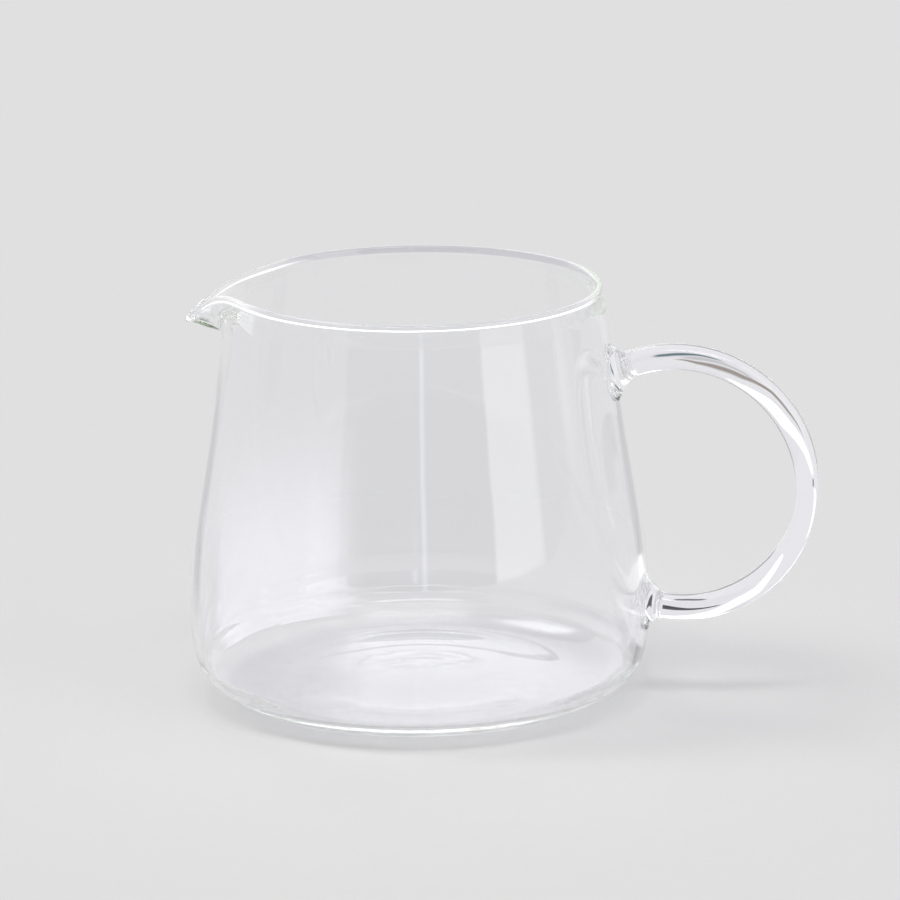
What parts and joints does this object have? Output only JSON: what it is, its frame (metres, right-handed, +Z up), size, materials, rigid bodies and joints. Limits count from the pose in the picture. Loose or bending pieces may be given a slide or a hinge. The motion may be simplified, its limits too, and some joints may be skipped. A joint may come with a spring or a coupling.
{
  "type": "coffee server carafe",
  "caption": "Clear blown glass coffee server with a pulled pouring lip, a melted round rim and a bent solid glass rod handle welded to its side.",
  "frame": {"origin": "centre of the foot ring, on the surface that the vessel stands on", "axes": "+Z up along the vessel's axis, +X towards the handle, the pouring lip at -X"},
  "size_m": [0.1462, 0.106, 0.095],
  "materials": {
    "glass": "fire-polished clear borosilicate glass",
    "rod_glass": "drawn clear borosilicate glass rod",
    "weld_glass": "flame-melted clear borosilicate glass, faintly green where thick"
  },
  "bodies": {
    "root": {"vessel": "glass", "handle_rod": "rod_glass", "upper_weld": "weld_glass", "lower_weld": "weld_glass"}
  },
  "joints": []
}
